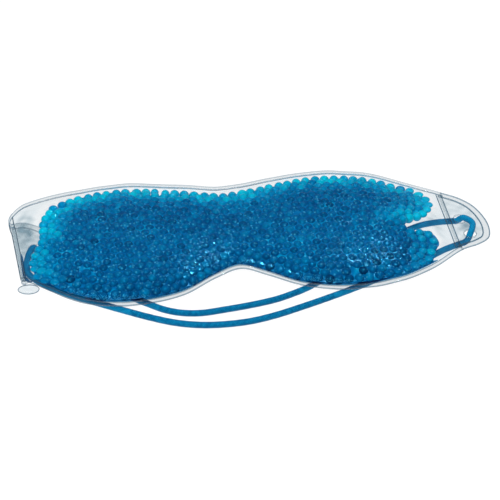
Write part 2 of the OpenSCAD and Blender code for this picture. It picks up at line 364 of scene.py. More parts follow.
def srgb(r, g, b):
    """A colour given as 0 to 255 on screen, as the linear colour that shaders take."""
    c = np.array([r, g, b]) / 255
    linear = np.where(c <= 0.04045, c / 12.92, ((c + 0.055) / 1.055) ** 2.4)
    return (*linear.tolist(), 1.0)


class Nodes:
    """Builds one material's node tree in few words."""

    def __init__(self, name):
        self.material = bpy.data.materials.new(name)
        self.material.use_nodes = True
        self.tree = self.material.node_tree
        self.tree.nodes.clear()
        self.out = self.tree.nodes.new("ShaderNodeOutputMaterial")

    def add(self, kind, settings=None, **inputs):
        node = self.tree.nodes.new("ShaderNode" + kind)
        for key, value in (settings or {}).items():
            setattr(node, key, value)
        for key, value in inputs.items():
            socket = node.inputs[int(key[1:]) if key[1:].isdigit() else key.replace("_", " ")]
            if isinstance(value, bpy.types.NodeSocket):
                self.tree.links.new(value, socket)
            else:
                socket.default_value = value
        return node

    def math(self, operation, a, b=0.0):
        return self.add("Math", {"operation": operation}, i0=a, i1=b).outputs[0]

    def attribute(self, name):
        return self.add("Attribute", {"attribute_name": name}).outputs["Fac"]

    def place(self):
        return self.add("TexCoord").outputs["Object"]

    def noise(self, scale, detail=2.0):
        return self.add("TexNoise", Vector=self.place(), Scale=scale, Detail=detail).outputs["Fac"]

    def cells(self, scale):
        return self.add("TexVoronoi", Vector=self.place(), Scale=scale).outputs["Distance"]

    def ramp(self, value, *stops):
        node = self.add("ValToRGB", Fac=value)
        bar = node.color_ramp
        while len(bar.elements) < len(stops):
            bar.elements.new(0.5)
        for element, (at, colour) in zip(bar.elements, stops):
            element.position = at
            element.color = colour
        return node.outputs["Color"]

    def painted_glints(self, colour):
        """Lightens a colour at small scattered points: painted highlights, for light caught in wet
        gel.
        """
        dots = self.ramp(self.cells(PAINTED_GLINT_SCALE), (0.0, grey(1.0)), (PAINTED_GLINT_SIZE, grey(0.0)))
        share = self.math("MULTIPLY", dots, PAINTED_GLINT_STRENGTH)
        return self.add("MixRGB", i0=share, i1=colour, i2=srgb(70, 190, 232)).outputs[0]

    def sheen_share(self, normal, flat_on):
        """How much a clear sheet mirrors, the same from either side."""
        facing = self.add("LayerWeight", Blend=0.5, Normal=normal).outputs["Facing"]
        steep = self.math("MULTIPLY", self.math("POWER", facing, 5.0), 0.8)
        return self.math("ADD", steep, flat_on)

    def bump(self, height, strength, distance):
        return self.add("Bump", Height=height, Strength=strength, Distance=distance).outputs[0]

    def finish(self, shader):
        self.tree.links.new(shader, self.out.inputs["Surface"])
        return self.material

    def glazed(self, body, gloss, share):
        """Finishes with a body under a share of gloss."""
        return self.finish(self.add("MixShader", Fac=share, i1=body, i2=gloss).outputs[0])


def grey(v):
    return (v, v, v, 1.0)


def cord_material():
    """Braided elastic: two sets of strands winding opposite ways.

    Painted light makes it lighter where the film lies on it.
    """
    n = Nodes("braided_elastic")
    along, around = n.attribute("along"), n.attribute("around")
    turn = n.math("MULTIPLY", along, 1 / BRAID_PITCH)
    waves = []
    for sign in (1, -1):
        wound = n.math("ADD", around, n.math("MULTIPLY", turn, sign))
        phase = n.math("MULTIPLY", wound, BRAID_STRANDS)
        waves.append(n.math("SINE", n.math("MULTIPLY", phase, 2 * math.pi)))
    weave = n.math("MAXIMUM", *waves)
    wear_and_lift = n.math("ADD", n.math("MULTIPLY", weave, 0.35), n.noise(900, 3.0))
    # Painted light: lighter where the cord lies beneath the pouch film, lifting the shade there
    wear_and_lift = n.math("ADD", wear_and_lift, n.math("MULTIPLY", n.attribute("beneath"), 0.35))
    colour = n.ramp(
        wear_and_lift,
        (0.25, srgb(0, 68, 108)),
        (0.62, srgb(0, 100, 150)),
        (0.95, srgb(14, 132, 180)),
    )
    fibres = n.noise(5200)
    height = n.math("ADD", n.math("MULTIPLY", weave, 0.6), n.math("MULTIPLY", fibres, 0.4))
    rough = n.math("ADD", n.math("MULTIPLY", fibres, 0.2), 0.5)
    shader = n.add(
        "BsdfPrincipled",
        Base_Color=colour,
        Roughness=rough,
        Normal=n.bump(height, 0.5, 0.00006),
        Sheen_Weight=0.08,
        Sheen_Roughness=0.4,
        Sheen_Tint=srgb(60, 160, 210),
        Specular_Tint=srgb(60, 170, 220),
        IOR=1.4,
    )
    return n.finish(shader.outputs[0])


def bead_material():
    """Wet hydrogel beads: clear, deeply tinted, each a little different from the next.

    Their tone carries painted light where the filling is thin, and painted shade at dark gaps.
    """
    n = Nodes("gel_beads")
    tone = n.attribute("tone")
    cloud = n.math("MULTIPLY", n.math("SUBTRACT", n.noise(420), 0.5), 0.22)
    colour = n.ramp(
        n.math("ADD", tone, cloud),
        (0.0, srgb(0, 52, 96)),
        (0.28, srgb(0, 104, 168)),
        (0.6, srgb(0, 160, 218)),
        (1.0, srgb(2, 222, 250)),
    )
    ripple = n.bump(n.noise(1500), 0.25, 0.00008)
    shader = n.add(
        "BsdfPrincipled",
        # Painted highlights: glints lighten the base colour at scattered points
        Base_Color=n.painted_glints(colour),
        Roughness=0.12,
        IOR=1.5,
        Specular_IOR_Level=0.9,
        Transmission_Weight=0.35,
        Specular_Tint=srgb(30, 180, 235),
        Normal=ripple,
    )
    return n.finish(shader.outputs[0])


def body_material():
    """The deep layers of beads in their liquid, which merge into one mottled blue.

    Painted light lightens the gel where it thins near its edge, away from the cheek rim.
    """
    n = Nodes("deep_gel")
    cells = n.cells(250)
    cloud = n.math("MULTIPLY", n.noise(60, 3.0), 0.7)
    mottle_and_light = n.math("ADD", n.math("MULTIPLY", cells, 0.5), cloud)
    # Painted light: the edge attribute lightens the gel where it thins near its rim
    mottle_and_light = n.math("ADD", mottle_and_light, n.attribute("edge"))
    colour = n.ramp(
        mottle_and_light,
        (0.2, srgb(0, 56, 102)),
        (0.45, srgb(0, 76, 132)),
        (0.7, srgb(0, 104, 164)),
        (1.0, srgb(0, 166, 214)),
    )
    shader = n.add(
        "BsdfPrincipled",
        # Painted highlights: glints lighten the base colour at scattered points
        Base_Color=n.painted_glints(colour),
        Roughness=0.16,
        IOR=1.5,
        Specular_Tint=srgb(30, 180, 235),
        Normal=n.bump(n.math("ADD", cells, n.noise(600)), 0.6, 0.0008),
    )
    return n.finish(shader.outputs[0])


def film_material():
    """Clear soft vinyl: what is behind it shows through, with a glossy face and a faint haze."""
    n = Nodes("clear_film")
    tint = (0.89, 0.92, 0.935, 1.0)
    height = n.math("ADD", n.noise(45), n.math("MULTIPLY", n.noise(700), 0.06))
    waves = n.bump(height, 0.25, 0.0006)
    tone = n.add("MixRGB", i0=n.attribute("shade"), i1=tint, i2=srgb(160, 182, 192)).outputs[0]
    tone = n.add("MixRGB", i0=n.attribute("wet"), i1=tone, i2=grey(0.96)).outputs[0]
    clear = n.add("BsdfTransparent", Color=tone).outputs[0]
    milk = n.add("BsdfDiffuse", Color=srgb(226, 232, 236), Normal=waves).outputs[0]
    share = n.math("MULTIPLY", n.math("ADD", n.noise(70, 3.0), 0.5), 0.004)
    share = n.math("MULTIPLY", share, n.math("SUBTRACT", 1.0, n.attribute("wet")))
    body = n.add("MixShader", Fac=share, i1=clear, i2=milk).outputs[0]
    skin = n.add("MixRGB", i0=n.attribute("wet"), i1=grey(1.0), i2=srgb(70, 190, 235)).outputs[0]
    gloss = n.add("BsdfGlossy", Color=skin, Roughness=0.10, Normal=waves).outputs[0]
    return n.glazed(body, gloss, n.sheen_share(waves, 0.02))


def weld_material():
    """Film pressed into film: greyer than the single sheet.

    Its two ridges are darkest, in painted shade.
    """
    n = Nodes("welded_film")
    ridge_shade_and_haze = n.attribute("edge")
    waves = n.bump(n.noise(60), 0.3, 0.0005)
    # Painted shade: the tint darkens along the ridges, for light bent away at the thick edges
    tint = n.ramp(
        ridge_shade_and_haze,
        (0.0, (0.89, 0.91, 0.92, 1.0)),
        (0.6, srgb(142, 164, 178)),
        (1.0, srgb(84, 114, 134)),
    )
    clear = n.add("BsdfTransparent", Color=tint).outputs[0]
    milk = n.add("BsdfDiffuse", Color=srgb(124, 168, 192), Normal=waves).outputs[0]
    cloud = n.math("MULTIPLY", n.noise(90, 3.0), 0.02)
    share = n.math("ADD", cloud, n.math("MULTIPLY", ridge_shade_and_haze, 0.24))
    body = n.add("MixShader", Fac=share, i1=clear, i2=milk).outputs[0]
    gloss = n.add("BsdfGlossy", Color=grey(1.0), Roughness=0.09, Normal=waves).outputs[0]
    return n.glazed(body, gloss, n.sheen_share(waves, 0.04))


def liquid_material():
    """Thin tinted liquid: what is behind it shows through in teal."""
    n = Nodes("tinted_liquid")
    waves = n.bump(n.noise(160), 0.2, 0.0003)
    clear = n.add("BsdfTransparent", Color=srgb(66, 164, 200)).outputs[0]
    gloss = n.add("BsdfGlossy", Color=grey(1.0), Roughness=0.06, Normal=waves).outputs[0]
    return n.glazed(clear, gloss, n.sheen_share(waves, 0.02))


def sleeve_material():
    """Smooth blue plastic of the sleeve that joins the cord's ends."""
    n = Nodes("join_sleeve")
    tone = n.ramp(n.noise(300), (0.3, srgb(10, 78, 120)), (0.7, srgb(20, 98, 144)))
    shader = n.add("BsdfPrincipled", Base_Color=tone, Roughness=0.38, IOR=1.46)
    return n.finish(shader.outputs[0])


# --- Camera, floor and light -----------------------------------------------------------------


def make_camera():
    east, north = math.cos(VIEW_AZIMUTH), math.sin(VIEW_AZIMUTH)
    level = math.cos(VIEW_ELEVATION)
    back = Vector((north * level, -east * level, math.sin(VIEW_ELEVATION)))
    right = Vector((east, north, 0))
    up = back.cross(right)
    right, up = (
        right * math.cos(VIEW_ROLL) + up * math.sin(VIEW_ROLL),
        up * math.cos(VIEW_ROLL) - right * math.sin(VIEW_ROLL),
    )
    forward = (-back + right * AIM_RIGHT - up * AIM_DOWN).normalized()
    right = forward.cross(up).normalized()
    up = right.cross(forward)
    data = bpy.data.cameras.new("camera")
    data.sensor_width = 36
    data.lens = VIEW_LENS
    data.clip_start = 0.01
    camera = bpy.data.objects.new("camera", data)
    bpy.context.scene.collection.objects.link(camera)
    axes = [[right[k], up[k], -forward[k]] for k in range(3)]
    from_place = Vector(spot(0, 0, 0)) + back * VIEW_DISTANCE * MM
    camera.matrix_world = Matrix([[*axes[k], from_place[k]] for k in range(3)] + [[0, 0, 0, 1]])
    bpy.context.scene.camera = camera


def area_light(name, position, size, power):
    """A white disk lamp aimed at the frame's origin."""
    data = bpy.data.lights.new(name, "AREA")
    data.shape = "DISK"
    data.size = size
    data.energy = power
    lamp = bpy.data.objects.new(name, data)
    bpy.context.scene.collection.objects.link(lamp)
    lamp.location = position
    lamp.rotation_euler = Vector(position).to_track_quat("Z", "Y").to_euler()


def make_studio():
    sheet = bpy.data.meshes.new("floor")
    h = 2.5
    sheet.from_pydata([(-h, -h, 0), (h, -h, 0), (h, h, 0), (-h, h, 0)], [], [(0, 1, 2, 3)])
    floor = bpy.data.objects.new("floor", sheet)
    bpy.context.scene.collection.objects.link(floor)
    n = Nodes("light_table")
    paper = n.add("BsdfDiffuse", Color=grey(0.1)).outputs[0]
    glow = n.add("Emission", Color=grey(1.0), Strength=FLOOR_GLOW).outputs[0]
    floor.data.materials.append(n.finish(n.add("AddShader", i0=paper, i1=glow).outputs[0]))
    world = bpy.data.worlds.new("studio")
    world.use_nodes = True
    surround = world.node_tree.nodes["Background"].inputs
    surround["Color"].default_value = grey(0.95)
    surround["Strength"].default_value = WORLD_STRENGTH
    bpy.context.scene.world = world
    area_light("front_soft", (-0.25, -0.75, 1.0), 1.1, 10)
    area_light("speck_left", (-0.3, -0.12, 0.75), 0.05, 2.4)
    area_light("speck_back", (0.3, 0.30, 0.65), 0.05, 2.0)
    bpy.context.scene.view_settings.view_transform = "Standard"


make_camera()
make_studio()

# --- Cord ------------------------------------------------------------------------------------


def braid_radius(along, around):
    """Two sets of strands wound opposite ways, the higher one showing."""
    turns = [around + sign * along / BRAID_PITCH for sign in (1, -1)]
    waves = [np.sin(2 * math.pi * BRAID_STRANDS * turn) for turn in turns]
    return CORD_R - 0.05 + 0.05 * np.maximum(*waves)


def make_cord(name, route):
    line = spline(route, CORD_STEP)
    piece = tube(name, line, CORD_SIDES, braid_radius)
    piece.data.materials.append(elastic)
    # Where the cord lies beneath the pouch; its colour is painted lighter there
    beneath = smooth((line[:, 1] - edge(LOWER_EDGE, line[:, 0]) + 0.8) / 1.2)
    set_attribute(piece, "beneath", np.append(np.repeat(beneath, CORD_SIDES), beneath[[0, -1]]))
    return piece, line


elastic = cord_material()
right_part = [JOIN_MIDDLE, *UPPER_ROUTE[JOIN_AT:-1], *RIGHT_ROUTE, *LOWER_ROUTE[MEETING:-1][::-1]]
left_tip = [(a + b) / 2 for a, b in zip(LOWER_ROUTE[0], LEFT_ROUTE[0])]
left_part = [*LOWER_ROUTE[MEETING:0:-1], left_tip, *LEFT_ROUTE[1:]]
upper_part = [LEFT_ROUTE[-1], *UPPER_ROUTE[1:JOIN_AT], JOIN_MIDDLE]

right_cord, right_line = make_cord("cord_right", right_part)
left_cord, left_line = make_cord("cord_left", left_part)
upper_cord, upper_line = make_cord("cord_upper", upper_part)


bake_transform(right_cord)
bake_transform(left_cord)
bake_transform(upper_cord)
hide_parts("right_cord_loop")
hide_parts("left_cord_loop", "lower_cord_strand")
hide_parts("upper_cord_strand")

# --- Film, welds and tabs --------------------------------------------------------------------


def lean(points):
    """The folded end leans out at the forehead, and its corner there is rounded."""
    p = np.array(points, float)
    drop = 5 * np.clip((-p[:, 0] - 80) / 7.5, 0, 1) ** 2 * smooth((p[:, 1] - 2) / 12)
    p[:, 0] -= 0.085 * (p[:, 1] + 9) * smooth((-p[:, 0] - 68) / 18)
    p[:, 1] -= drop
    return p


class Shell:
    """Collects several patches of surface into one mesh piece."""

    def __init__(self):
        self.points, self.faces, self.edge, self.count = [], [], [], 0
        self.extra = {}

    def add(self, points, faces, edge=0.0):
        points = np.asarray(points, float).reshape(-1, 3)
        self.faces += [tuple(int(k) + self.count for k in f) for f in faces]
        self.points.append(points)
        self.edge.append(np.broadcast_to(np.asarray(edge, float), len(points)))
        self.count += len(points)

    def grid(self, points, edge=0.0, closed=False):
        """Adds a grid of points with shape (nu, nv, 3)."""
        nu, nv = points.shape[:2]
        edge = np.broadcast_to(edge, (nu, nv)).ravel()
        self.add(points.reshape(-1, 3), grid_faces(nu, nv, closed), edge)

    def band(self, inner, outer, normals, weights=(1.0, 0.7)):
        """A welded band between two lines, thicker at its two pressed ridges."""
        u = 0.5 - 0.5 * np.cos(np.linspace(0, math.pi, 15))
        places = zip(weights, (0.07, 0.93))
        ridge = sum(w * np.exp(-(((u - at) / 0.06) ** 2)) for w, at in places)
        round_edge = np.sqrt(np.clip(1 - (2 * u - 1) ** 12, 0.0, 1))
        half = np.minimum(0.2 + 0.17 * ridge, 0.36) * round_edge
        u = np.concatenate([u, u[-2:0:-1]])
        half = np.concatenate([half, -half[-2:0:-1]])
        ridge = np.concatenate([ridge, ridge[-2:0:-1]])
        across = inner[:, None] + (outer - inner)[:, None] * u[None, :, None]
        points = across + normals[:, None] * half[None, :, None]
        self.grid(points, np.broadcast_to(ridge, points.shape[:2]), closed=True)

    def ridge(self, line, radius):
        """A thin pressed line standing on a film."""
        line = spline(line, 0.8)
        points, _, _ = tube_points(line, 8, lambda along, around: radius + 0 * along * around)
        self.grid(points.reshape(len(line), 8, 3), 1.0, closed=True)

    def ring(self, centre, radius, thickness):
        """The thickened lip of a punched hole."""
        angle = np.linspace(0, 2 * math.pi, 49)
        a, b = np.meshgrid(angle, np.arange(8) * math.pi / 4, indexing="ij")
        r = radius + thickness * np.cos(b)
        x, y = centre[0] + r * np.cos(a), centre[1] + r * np.sin(a)
        self.grid(np.stack([x, y, centre[2] + thickness * np.sin(b)], axis=-1), 0.35, closed=True)

    def make(self, name, material, slot):
        piece = make_mesh(name, lean(np.vstack(self.points)), self.faces)
        set_attribute(piece, "edge", np.concatenate(self.edge))
        for key, values in self.extra.items():
            set_attribute(piece, key, np.ravel(values))
        piece.data.materials.append(material)
        return piece


def ups(n):
    return np.tile([0.0, 0.0, 1.0], (n, 1))


def crinkle(x, y, size):
    """Soft creases of a slack sheet."""
    a = np.sin(0.55 * x + 0.31 * y + 1.2 * np.sin(0.21 * y + 0.9))
    b = np.sin(0.83 * y - 0.27 * x + 1.6 * np.sin(0.17 * x))
    return size * (0.6 * a * b + 0.4 * np.sin(0.37 * x - 0.62 * y))


def pouch_xy(nu, nv):
    """A grid of places over the pouch, closer together near its rims."""
    x = np.linspace(CREASE_X, RIGHT_X, nu)[:, None]
    s = np.linspace(0, 1, nv)[None, :]
    v = s - 0.11 * np.sin(2 * math.pi * s)
    low, high = low_y(x), high_y(x)
    return x + 0 * v, low + (high - low) * v


def slack(x, y):
    """Where the pouch holds no beads, near its two ends."""
    v = across_of(x, y)
    open_end = smooth((np.abs(x) - 76) / 7) * smooth((88.5 - np.abs(x)) / 5)
    return open_end * (4 * v * (1 - v)) ** 0.7


def tab_outer(x_from):
    """The tab's outer edge beyond a given x."""
    curve = spline(TAB_EDGE, 0.6)
    return curve[curve[:, 0] >= x_from]


def inward(curve, distance):
    """A clockwise curve moved towards its inside."""
    d = np.gradient(curve, axis=0)
    d /= np.linalg.norm(d, axis=1)[:, None]
    return curve + distance * np.stack([d[:, 1], -d[:, 0]], axis=1)


def inside(polygon, points):
    """Whether each point is inside a polygon."""
    hit = np.zeros(len(points), bool)
    for (ax, ay), (bx, by) in zip(polygon, np.roll(polygon, -1, axis=0)):
        crosses = (ay > points[:, 1]) != (by > points[:, 1])
        level = by - ay if by != ay else 1e-9
        hit ^= crosses & (points[:, 0] < ax + (points[:, 1] - ay) / level * (bx - ax))
    return hit


def circle(centre, radius):
    a = 2 * math.pi * np.arange(40) / 40
    return np.stack([centre[0] + radius * np.cos(a), centre[1] + radius * np.sin(a)], axis=1)


def fill_region(outline, holes, spacing):
    """Points and triangles of a flat region with round holes in it."""
    loops = [outline] + [circle(h, HOLE_R) for h in holes]
    low, high = outline.min(axis=0), outline.max(axis=0)
    xs, ys = np.meshgrid(np.arange(low[0], high[0], spacing), np.arange(low[1], high[1], spacing))
    fill = np.stack([xs.ravel(), ys.ravel()], axis=1)
    keep = inside(outline, fill)
    keep &= np.linalg.norm(fill[:, None] - outline[None], axis=2).min(axis=1) > spacing * 0.4
    for h in holes:
        keep &= np.hypot(*(fill - h).T) > HOLE_R + 0.5
    points = [Vector(p) for loop in loops for p in loop] + [Vector(p) for p in fill[keep]]
    sides, start = [], 0
    for loop in loops:
        n = len(loop)
        sides += [(start + k, start + (k + 1) % n) for k in range(n)]
        start += n
    found = delaunay_2d_cdt(points, sides, [], 0, 1e-5)
    flat = np.array([tuple(p) for p in found[0]])
    triangles = [f for f in found[2] if len(f) == 3]
    middles = np.array([flat[list(f)].mean(axis=0) for f in triangles])
    keep = inside(outline, middles)
    for h in holes:
        keep &= np.hypot(*(middles - h).T) > HOLE_R - 0.05
    return flat, [f for f, k in zip(triangles, keep) if k]


def make_tab(x_from, seam_z, shift, ridge_shading=1.0):
    """The films and the rim of one tab, drawn at the right end and moved along by shift."""
    outline = inward(tab_outer(x_from), TAB_RIM_W - 0.2)[::2]
    flat, triangles = fill_region(outline, HOLES, 1.3)
    films = Shell()
    wave = crinkle(flat[:, 0], flat[:, 1], 0.16)
    for z, size in ((seam_z + 0.3, 1.0), (seam_z - 0.3, -0.6)):
        films.add(np.column_stack([flat[:, 0] + shift, flat[:, 1], z + wave * size]), triangles)
    between = np.exp(-(((flat - [97.2, -9.4]) / [2.6, 3.8]) ** 2).sum(axis=1))
    shade = np.clip(0.12 + 0.5 * between + crinkle(1.9 * flat[:, 0], 1.6 * flat[:, 1], 0.2), 0, 1)
    films.extra["shade"] = np.tile(shade, 2)
    rim = Shell()
    outer = tab_outer(x_from)
    inner = inward(outer, TAB_RIM_W)
    level = np.full((len(outer), 1), seam_z)
    move = np.array([[shift, 0, 0]])
    rim.band(np.hstack([inner, level]) + move, np.hstack([outer, level]) + move, ups(len(outer)))
    for h in HOLES:
        rim.ring((h[0] + shift, h[1], seam_z + 0.3), HOLE_R, 0.1)
        rim.ring((h[0] + shift, h[1], seam_z - 0.3), HOLE_R, 0.1)
    # Painted shade: scales how dark this rim's ridges are drawn
    rim.edge = [e * ridge_shading for e in rim.edge]
    return films, rim


def make_fold():
    """The left end turned under: film and rims carried round the crease, with two pressed lines."""
    turn = np.linspace(math.pi / 2, 1.5 * math.pi, 25)
    t = (turn - turn[0]) / math.pi
    a = mix(-CREASE_X, CREASE_X - LEFT_SHIFT, t)
    normals = np.stack([np.cos(turn), 0 * turn, np.sin(turn)], axis=1)
    x, z = CREASE_X + FOLD_R * np.cos(turn), AXIS_Z + FOLD_R * np.sin(turn)
    base = np.stack([x, 0 * turn, z], axis=1)

    def line(y):
        return base + np.stack([0 * turn, y, 0 * turn], axis=1)

    sheet = Shell()
    s = np.linspace(0, 1, 90)
    y = low_y(a)[:, None] * (1 - s) + high_y(a)[:, None] * s
    ripple = 0.12 * np.sin(0.9 * y + 2 * np.sin(0.33 * y)) * np.sin(math.pi * t)[:, None]
    points = base[:, None] + np.stack([0 * y, y, 0 * y], axis=-1)
    points = points + normals[:, None] * ripple[..., None]
    sheet.grid(points)
    sheet.extra["shade"] = np.full(points.shape[:2], 0.3)
    welds = Shell()
    welds.band(line(low_y(a)), line(edge(LOWER_EDGE, a)), normals)
    welds.band(line(high_y(a)), line(edge(UPPER_EDGE, a)), normals)
    for k, r in ((1, 0.2), (12, 0.22)):
        ends = (low_y(a)[k], high_y(a)[k])
        row = [base[k] + [0, v, 0] + normals[k] * 0.05 for v in np.linspace(*ends, 9)]
        welds.ridge(row, r)
    return sheet, welds


def make_pouch_films(bead_spots):
    """The pouch's two films: the front one clings to the beads under it and looks wet there."""
    tree = KDTree(len(bead_spots))
    for k, p in enumerate(bead_spots):
        tree.insert((p[0], p[1], 0), k)
    tree.balance()
    x, y = pouch_xy(460, 170)
    gap = np.array([tree.find((a, b, 0))[2] for a, b in zip(x.ravel(), y.ravel())]).reshape(x.shape)
    v = across_of(x, y)
    rest = (4 * v * (1 - v)) ** 0.5
    cling = 0.30 * smooth((gap - 0.5) / 1.8) * rest
    loose = slack(x, y)
    top = Shell()
    top.grid(np.stack([x, y, front_z(x, y) + FILM_T - cling + crinkle(x, y, 0.3) * loose], axis=-1))
    top.extra["wet"] = smooth((5.5 - gap) / 3)
    cloud = 0.6 + 0.4 * np.sin(0.9 * x + 0.5 * y + np.sin(0.7 * y))
    shade = cloud * np.exp(-(((x + 81) / 4.5) ** 2) - ((y - 2) / 8) ** 2)
    top.extra["shade"] = np.clip(shade + loose * (0.3 + crinkle(1.7 * x, 1.3 * y, 0.35)), 0, 1)
    x, y = pouch_xy(300, 110)
    loose = slack(x, y)
    under = Shell()
    under.grid(np.stack([x, y, back_z(x, y) + crinkle(y, x, 0.2) * loose], axis=-1)[:, ::-1])
    return top, under


def make_rims():
    """The pouch's two welded rims and the cross weld at its right end."""
    x = np.linspace(CREASE_X, 92.2, 300)
    z = seam(x) + 0.1 * np.sin(0.31 * x + np.sin(0.13 * x))
    shells = []
    for knots, weights in ((UPPER_EDGE, (1.0, 0.35)), (LOWER_EDGE, (0.6, 0.8))):
        outer_y = edge(knots, x)
        inner_y = outer_y - math.copysign(RIM_W, knots[0, 1])
        shell = Shell()
        inner = np.stack([x, inner_y, z], axis=1)
        outer = np.stack([x, outer_y, z], axis=1)
        shell.band(inner, outer, ups(len(x)), weights)
        shells.append(shell)
    y = np.linspace(float(low_y(90.5)) - 0.3, float(high_y(90.5)) + 0.3, 60)
    z = np.full(60, RIGHT_Z)
    cross = Shell()
    inner, outer = (np.stack([0 * y + x, y, z], axis=1) for x in (RIGHT_X, CROSS_END))
    cross.band(inner, outer, ups(60))
    return (*shells, cross)


# --- Beads, gel and liquid -------------------------------------------------------------------

# Rows of gaps drawn as painted shade, where the beads near them are darkened: first x, last x,
# how many, and the height above the cheek rim at the first and at the last
DARK_ROWS = [(-80, -68, 4, 4.5, 4.0), (35, 67, 6, 4.0, 12.0)]
# The filling's two ends: one round lobe at the left, and two with a notch
# between them at the right
FILL_LEFT = [[-73, -32], [-79, -28], [-80.5, -18], [-76, -6], [-75, 6], [-71, 15], [-64, 19.5]]
FILL_RIGHT = [
    [84, 10], [84, 5], [80, -1.5], [73, -5.5], [67, -11], [73, -16], [79, -15], [81, -20], [79, -24]
]


def dark_gaps():
    """Places of the gaps painted dark as shade, along slightly wavy rows."""
    rows = []
    for start, end, count, rise_start, rise_end in DARK_ROWS:
        x = np.linspace(start, end, count)
        rise = np.linspace(rise_start, rise_end, count) + np.sin(2.1 * x)
        rows.append(np.stack([x, low_y(x) + rise], axis=1))
    return np.vstack(rows)


def fill_outline():
    """Line through the centres of the outermost beads."""
    x = np.linspace(-60, 82, 110)
    upper = np.stack([x, high_y(x) - mix(7.0, 5.2, smooth((x - 66) / 14))], axis=1)
    x = np.linspace(76, -72, 110)
    lower = np.stack([x, low_y(x) + 3.0], axis=1)
    outline = np.vstack([FILL_LEFT, upper, FILL_RIGHT, lower])
    return spline(np.vstack([outline, outline[:1]]), 0.5)


def even(line, spacing):
    """Points spacing apart round a closed line, without its repeated end."""
    along = lengths(line)
    at = np.linspace(0, along[-1], int(along[-1] / spacing) + 1)[:-1]
    return np.stack([np.interp(at, along, line[:, k]) for k in range(2)], axis=1)


def pack_beads(outline, spacing, seed):
    """Bead centres: a chain along the outline and a settled heap inside it."""
    rng = np.random.default_rng(seed)
    rim = even(outline, spacing * 1.02)
    rim = rim + rng.normal(0, 0.22, rim.shape)
    low, high = outline.min(axis=0), outline.max(axis=0)
    rows = np.arange(low[1], high[1], spacing * 0.83)
    lattice = []
    for k, y in enumerate(rows):
        xs = np.arange(low[0] + (k % 2) * spacing / 2, high[0], spacing * 0.95)
        lattice.append(np.stack([xs, np.full(len(xs), y)], axis=1))
    free = np.vstack(lattice) + rng.normal(0, 1.1, (sum(map(len, lattice)), 2))
    free = free[inside(outline, free)]
    near = np.linalg.norm(free[:, None] - rim[None], axis=2).min(axis=1)
    free = free[near > spacing * 0.5]
    for _ in range(30):
        everyone = np.vstack([free, rim])
        away = free[:, None] - everyone[None]
        far = np.linalg.norm(away, axis=2) + 1e-9
        push = np.clip(spacing - far, 0, None) * (far > 1e-6)
        free = free + (away / far[..., None] * push[..., None]).sum(axis=1) * 0.28
    free = free[inside(outline, free)]
    return rim, free


def ball(level):
    """Points and faces of a unit ball made by splitting an icosahedron."""
    g = (1 + 5**0.5) / 2
    points = [(-1, g, 0), (1, g, 0), (-1, -g, 0), (1, -g, 0), (0, -1, g), (0, 1, g),
              (0, -1, -g), (0, 1, -g), (g, 0, -1), (g, 0, 1), (-g, 0, -1), (-g, 0, 1)]
    points = [np.array(p) / np.linalg.norm(p) for p in points]
    faces = [(0, 11, 5), (0, 5, 1), (0, 1, 7), (0, 7, 10), (0, 10, 11), (1, 5, 9), (5, 11, 4),
             (11, 10, 2), (10, 7, 6), (7, 1, 8), (3, 9, 4), (3, 4, 2), (3, 2, 6), (3, 6, 8),
             (3, 8, 9), (4, 9, 5), (2, 4, 11), (6, 2, 10), (8, 6, 7), (9, 8, 1)]
    for _ in range(level):
        halves, split = {}, []

        def middle(a, b):
            key = (min(a, b), max(a, b))
            if key not in halves:
                m = points[a] + points[b]
                halves[key] = len(points)
                points.append(m / np.linalg.norm(m))
            return halves[key]

        for a, b, c in faces:
            ab, bc, ca = middle(a, b), middle(b, c), middle(c, a)
            split += [(a, ab, ca), (b, bc, ab), (c, ca, bc), (ab, bc, ca)]
        faces = split
    return np.array(points), np.array(faces)


def make_beads(name, spots, level, seed, material):
    """One mesh of beads from rows of x, y, z, radius across, radius up and tone."""
    rng = np.random.default_rng(seed)
    unit, faces = ball(level)
    points, triangles, tones = [], [], []
    for k, (x, y, z, r, rz, tone) in enumerate(spots):
        stretch = 1 + rng.normal(0, 0.03, 3)
        points.append(unit * [r, r, rz] * stretch + [x, y, z])
        triangles.append(faces + k * len(unit))
        tones.append(np.full(len(unit), np.clip(tone, 0.0, 1.0)))
    piece = make_mesh(name, np.vstack(points), np.vstack(triangles))
    set_attribute(piece, "tone", np.concatenate(tones))
    piece.data.materials.append(material)
    return piece


def bead_tones(points, rng):
    """Painted light: lighter where the filling thins out to the forehead and the ends.

    This stands for light showing through the thin filling. A few dark gaps get painted shade.
    """
    gap = np.linalg.norm(points[:, None] - outline[None, ::4], axis=2).min(axis=1)
    # Painted light: the thin edges and ends of the filling are lightened
    thin = np.exp(-((gap / 8) ** 2))
    upper = smooth((across_of(points[:, 0], points[:, 1]) - 0.3) / 0.3)
    end = smooth((np.abs(points[:, 0]) - 66) / 10)
    lit = thin * np.maximum(upper, 0.7 * end)
    tone = 0.30 + 0.56 * lit + rng.normal(0, 0.055 + 0.08 * lit)
    # Painted shade: beads near the gaps are darkened
    dark = np.linalg.norm(points[:, None] - dark_gaps()[None], axis=2).min(axis=1)
    return tone - 0.32 * np.exp(-((dark / 1.7) ** 2))


def layer_spots(points, side, seed):
    """Heights and sizes of beads that lie against the front (1) or the back (-1) film."""
    rng = np.random.default_rng(seed)
    x, y = points.T
    front, back = front_z(x, y), back_z(x, y) + FILM_T
    room = front - back
    r = BEAD_R * (1 + rng.normal(0, 0.045, len(x)))
    rz = np.clip(np.minimum(r, room / 2 - 0.06), 0.7, None)
    z = front - rz - 0.06 if side > 0 else back + rz + 0.06
    spots = np.stack([x, y, z, r, rz, bead_tones(points, rng)], axis=1)
    return spots if side > 0 else spots[room > 4.6]


